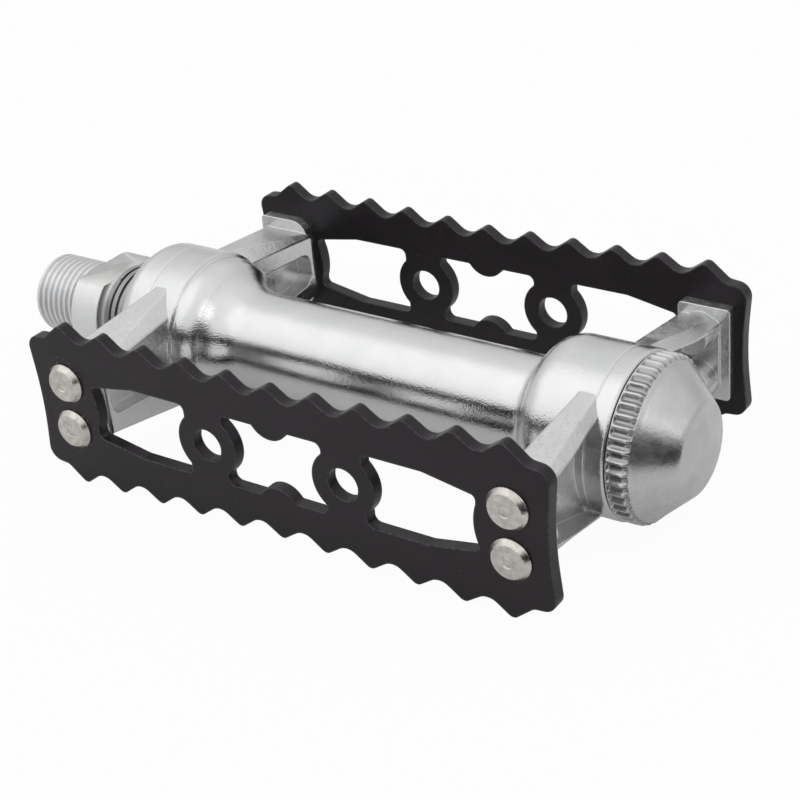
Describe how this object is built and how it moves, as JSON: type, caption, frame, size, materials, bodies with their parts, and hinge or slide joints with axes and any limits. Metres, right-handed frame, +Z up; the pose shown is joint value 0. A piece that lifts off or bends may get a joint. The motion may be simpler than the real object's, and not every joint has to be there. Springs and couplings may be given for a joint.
{
  "type": "touring pedal",
  "caption": "Double-sided bicycle platform pedal with a cast body, riveted toothed plates, a turning crank spindle with spanner flats and a fluted conical dust cap.",
  "frame": {"origin": "on the spindle axis, in the plane of the collar face that seats against the crank arm", "axes": "+X along the spindle, from the crank arm out to the dust cap; +Y across to the rear cage plate; +Z up, with the pedal lying level on the lower teeth of both plates"},
  "size_m": [0.1321, 0.0662, 0.029],
  "materials": {
    "cast_body": "bright polished die casting",
    "cage_paint": "satin black paint on stamped plate",
    "rivet_steel": "turned nickel-plated rivet head",
    "spindle_steel": "pale zinc-plated steel",
    "bearing_steel": "hardened ground steel",
    "hardware_steel": "zinc-plated steel",
    "seal_black": "grey moulded plastic",
    "cap_chrome": "satin chrome on pressed metal"
  },
  "bodies": {
    "platform": {"pedal_body": "cast_body", "cage_front": "cage_paint", "cage_rear": "cage_paint", "rivet_front_inboard_upper": "rivet_steel", "rivet_front_inboard_lower": "rivet_steel", "rivet_front_outboard_upper": "rivet_steel", "rivet_front_outboard_lower": "rivet_steel", "rivet_rear_inboard_upper": "rivet_steel", "rivet_rear_inboard_lower": "rivet_steel", "rivet_rear_outboard_upper": "rivet_steel", "rivet_rear_outboard_lower": "rivet_steel", "inner_cup": "bearing_steel", "outer_cup": "bearing_steel", "dust_seal": "seal_black", "dust_cap": "cap_chrome"},
    "spindle_set": {"spindle": "spindle_steel", "outer_cone": "bearing_steel", "lock_washer": "hardware_steel", "lock_nut": "hardware_steel"},
    "inner_balls": {"inner_ball_01": "bearing_steel", "inner_ball_02": "bearing_steel", "inner_ball_03": "bearing_steel", "inner_ball_04": "bearing_steel", "inner_ball_05": "bearing_steel", "inner_ball_06": "bearing_steel", "inner_ball_07": "bearing_steel", "inner_ball_08": "bearing_steel", "inner_ball_09": "bearing_steel", "inner_ball_10": "bearing_steel", "inner_ball_11": "bearing_steel", "inner_ball_12": "bearing_steel", "inner_ball_13": "bearing_steel"},
    "outer_balls": {"outer_ball_01": "bearing_steel", "outer_ball_02": "bearing_steel", "outer_ball_03": "bearing_steel", "outer_ball_04": "bearing_steel", "outer_ball_05": "bearing_steel", "outer_ball_06": "bearing_steel", "outer_ball_07": "bearing_steel", "outer_ball_08": "bearing_steel", "outer_ball_09": "bearing_steel", "outer_ball_10": "bearing_steel", "outer_ball_11": "bearing_steel", "outer_ball_12": "bearing_steel"}
  },
  "joints": [
    {"name": "spindle_spin", "type": "hinge", "parent": "platform", "child": "spindle_set", "pos_m": [0.063, 0, 0], "axis": [1, 0, 0], "continuous": true},
    {"name": "inner_ball_orbit", "type": "hinge", "parent": "platform", "child": "inner_balls", "pos_m": [0.0192, 0, 0], "axis": [1, 0, 0], "continuous": true},
    {"name": "outer_ball_orbit", "type": "hinge", "parent": "platform", "child": "outer_balls", "pos_m": [0.104, 0, 0], "axis": [1, 0, 0], "continuous": true}
  ],
  "couplings": [
    {"joint": "inner_ball_orbit", "follows": "spindle_spin", "ratio": 0.4184},
    {"joint": "outer_ball_orbit", "follows": "spindle_spin", "ratio": 0.4123}
  ]
}
